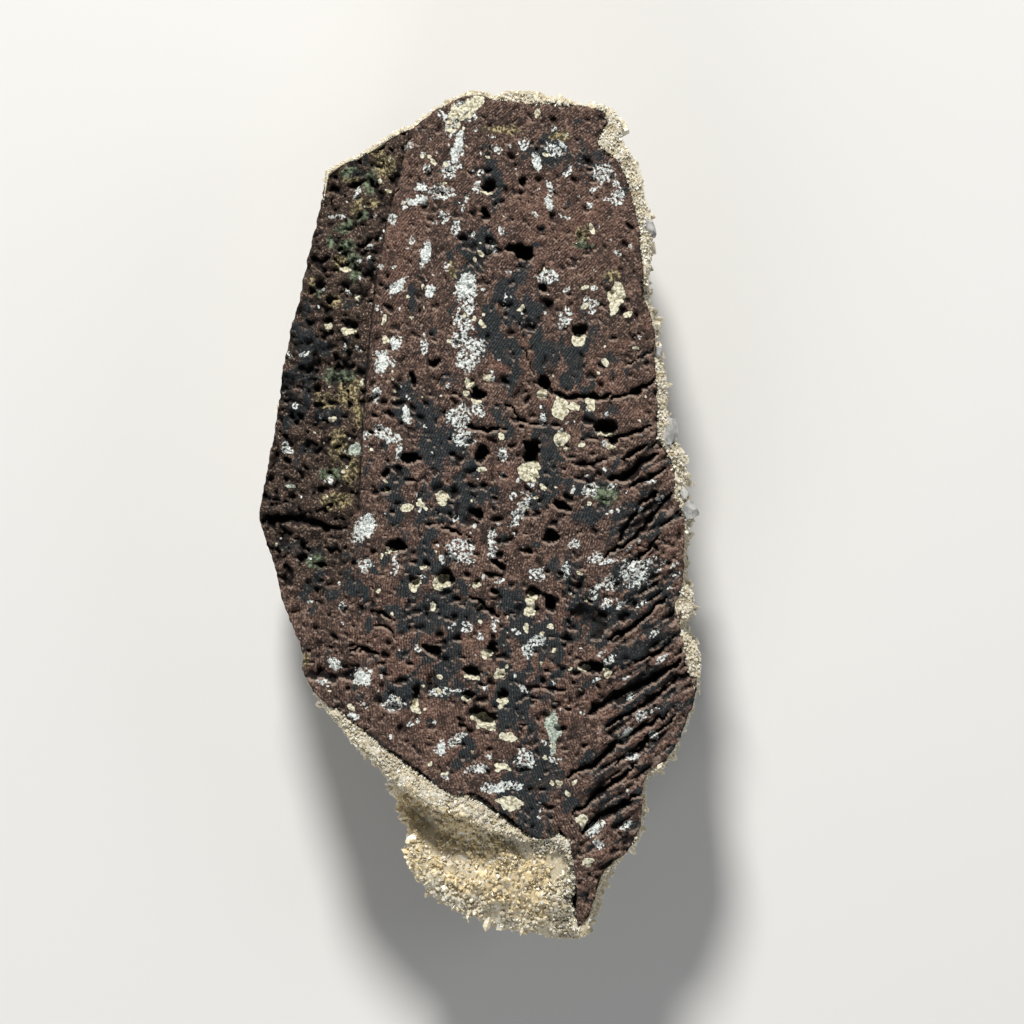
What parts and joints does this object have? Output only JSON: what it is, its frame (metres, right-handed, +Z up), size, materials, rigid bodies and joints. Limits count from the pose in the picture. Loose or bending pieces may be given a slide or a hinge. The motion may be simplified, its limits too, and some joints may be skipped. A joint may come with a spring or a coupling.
{
  "type": "cavansite specimen on basalt matrix",
  "caption": "Elongated mineral specimen: a basalt slab with a sawn flat back, crusted on its other side with small zeolite crystals that carry blue cavansite rosettes",
  "frame": {"origin": "on the ground, under the centre of the whole specimen's box", "axes": "+Z up, out of the sawn back; +Y along the stone towards its blunt end, away from its pointed crystal-lined end; +X across it, to the right as one looks down on the sawn back with +Y at the top"},
  "size_m": [0.0636, 0.1216, 0.034],
  "materials": {
    "basalt": "sawn reddish-brown vesicular basalt with pale and green spots",
    "zeolite": "sugary cream and white zeolite crystals",
    "cavansite": "vivid blue spiny rosettes of glassy blades"
  },
  "bodies": {
    "root": {"basalt_matrix": "basalt", "zeolite_crust": "zeolite", "cavansite_rosette_1": "cavansite", "cavansite_rosette_2": "cavansite", "cavansite_rosette_3": "cavansite", "cavansite_rosette_4": "cavansite", "cavansite_rosette_5": "cavansite", "cavansite_rosette_6": "cavansite", "cavansite_rosette_7": "cavansite", "cavansite_rosette_8": "cavansite", "cavansite_rosette_9": "cavansite", "cavansite_rosette_10": "cavansite", "cavansite_rosette_11": "cavansite"}
  },
  "joints": []
}
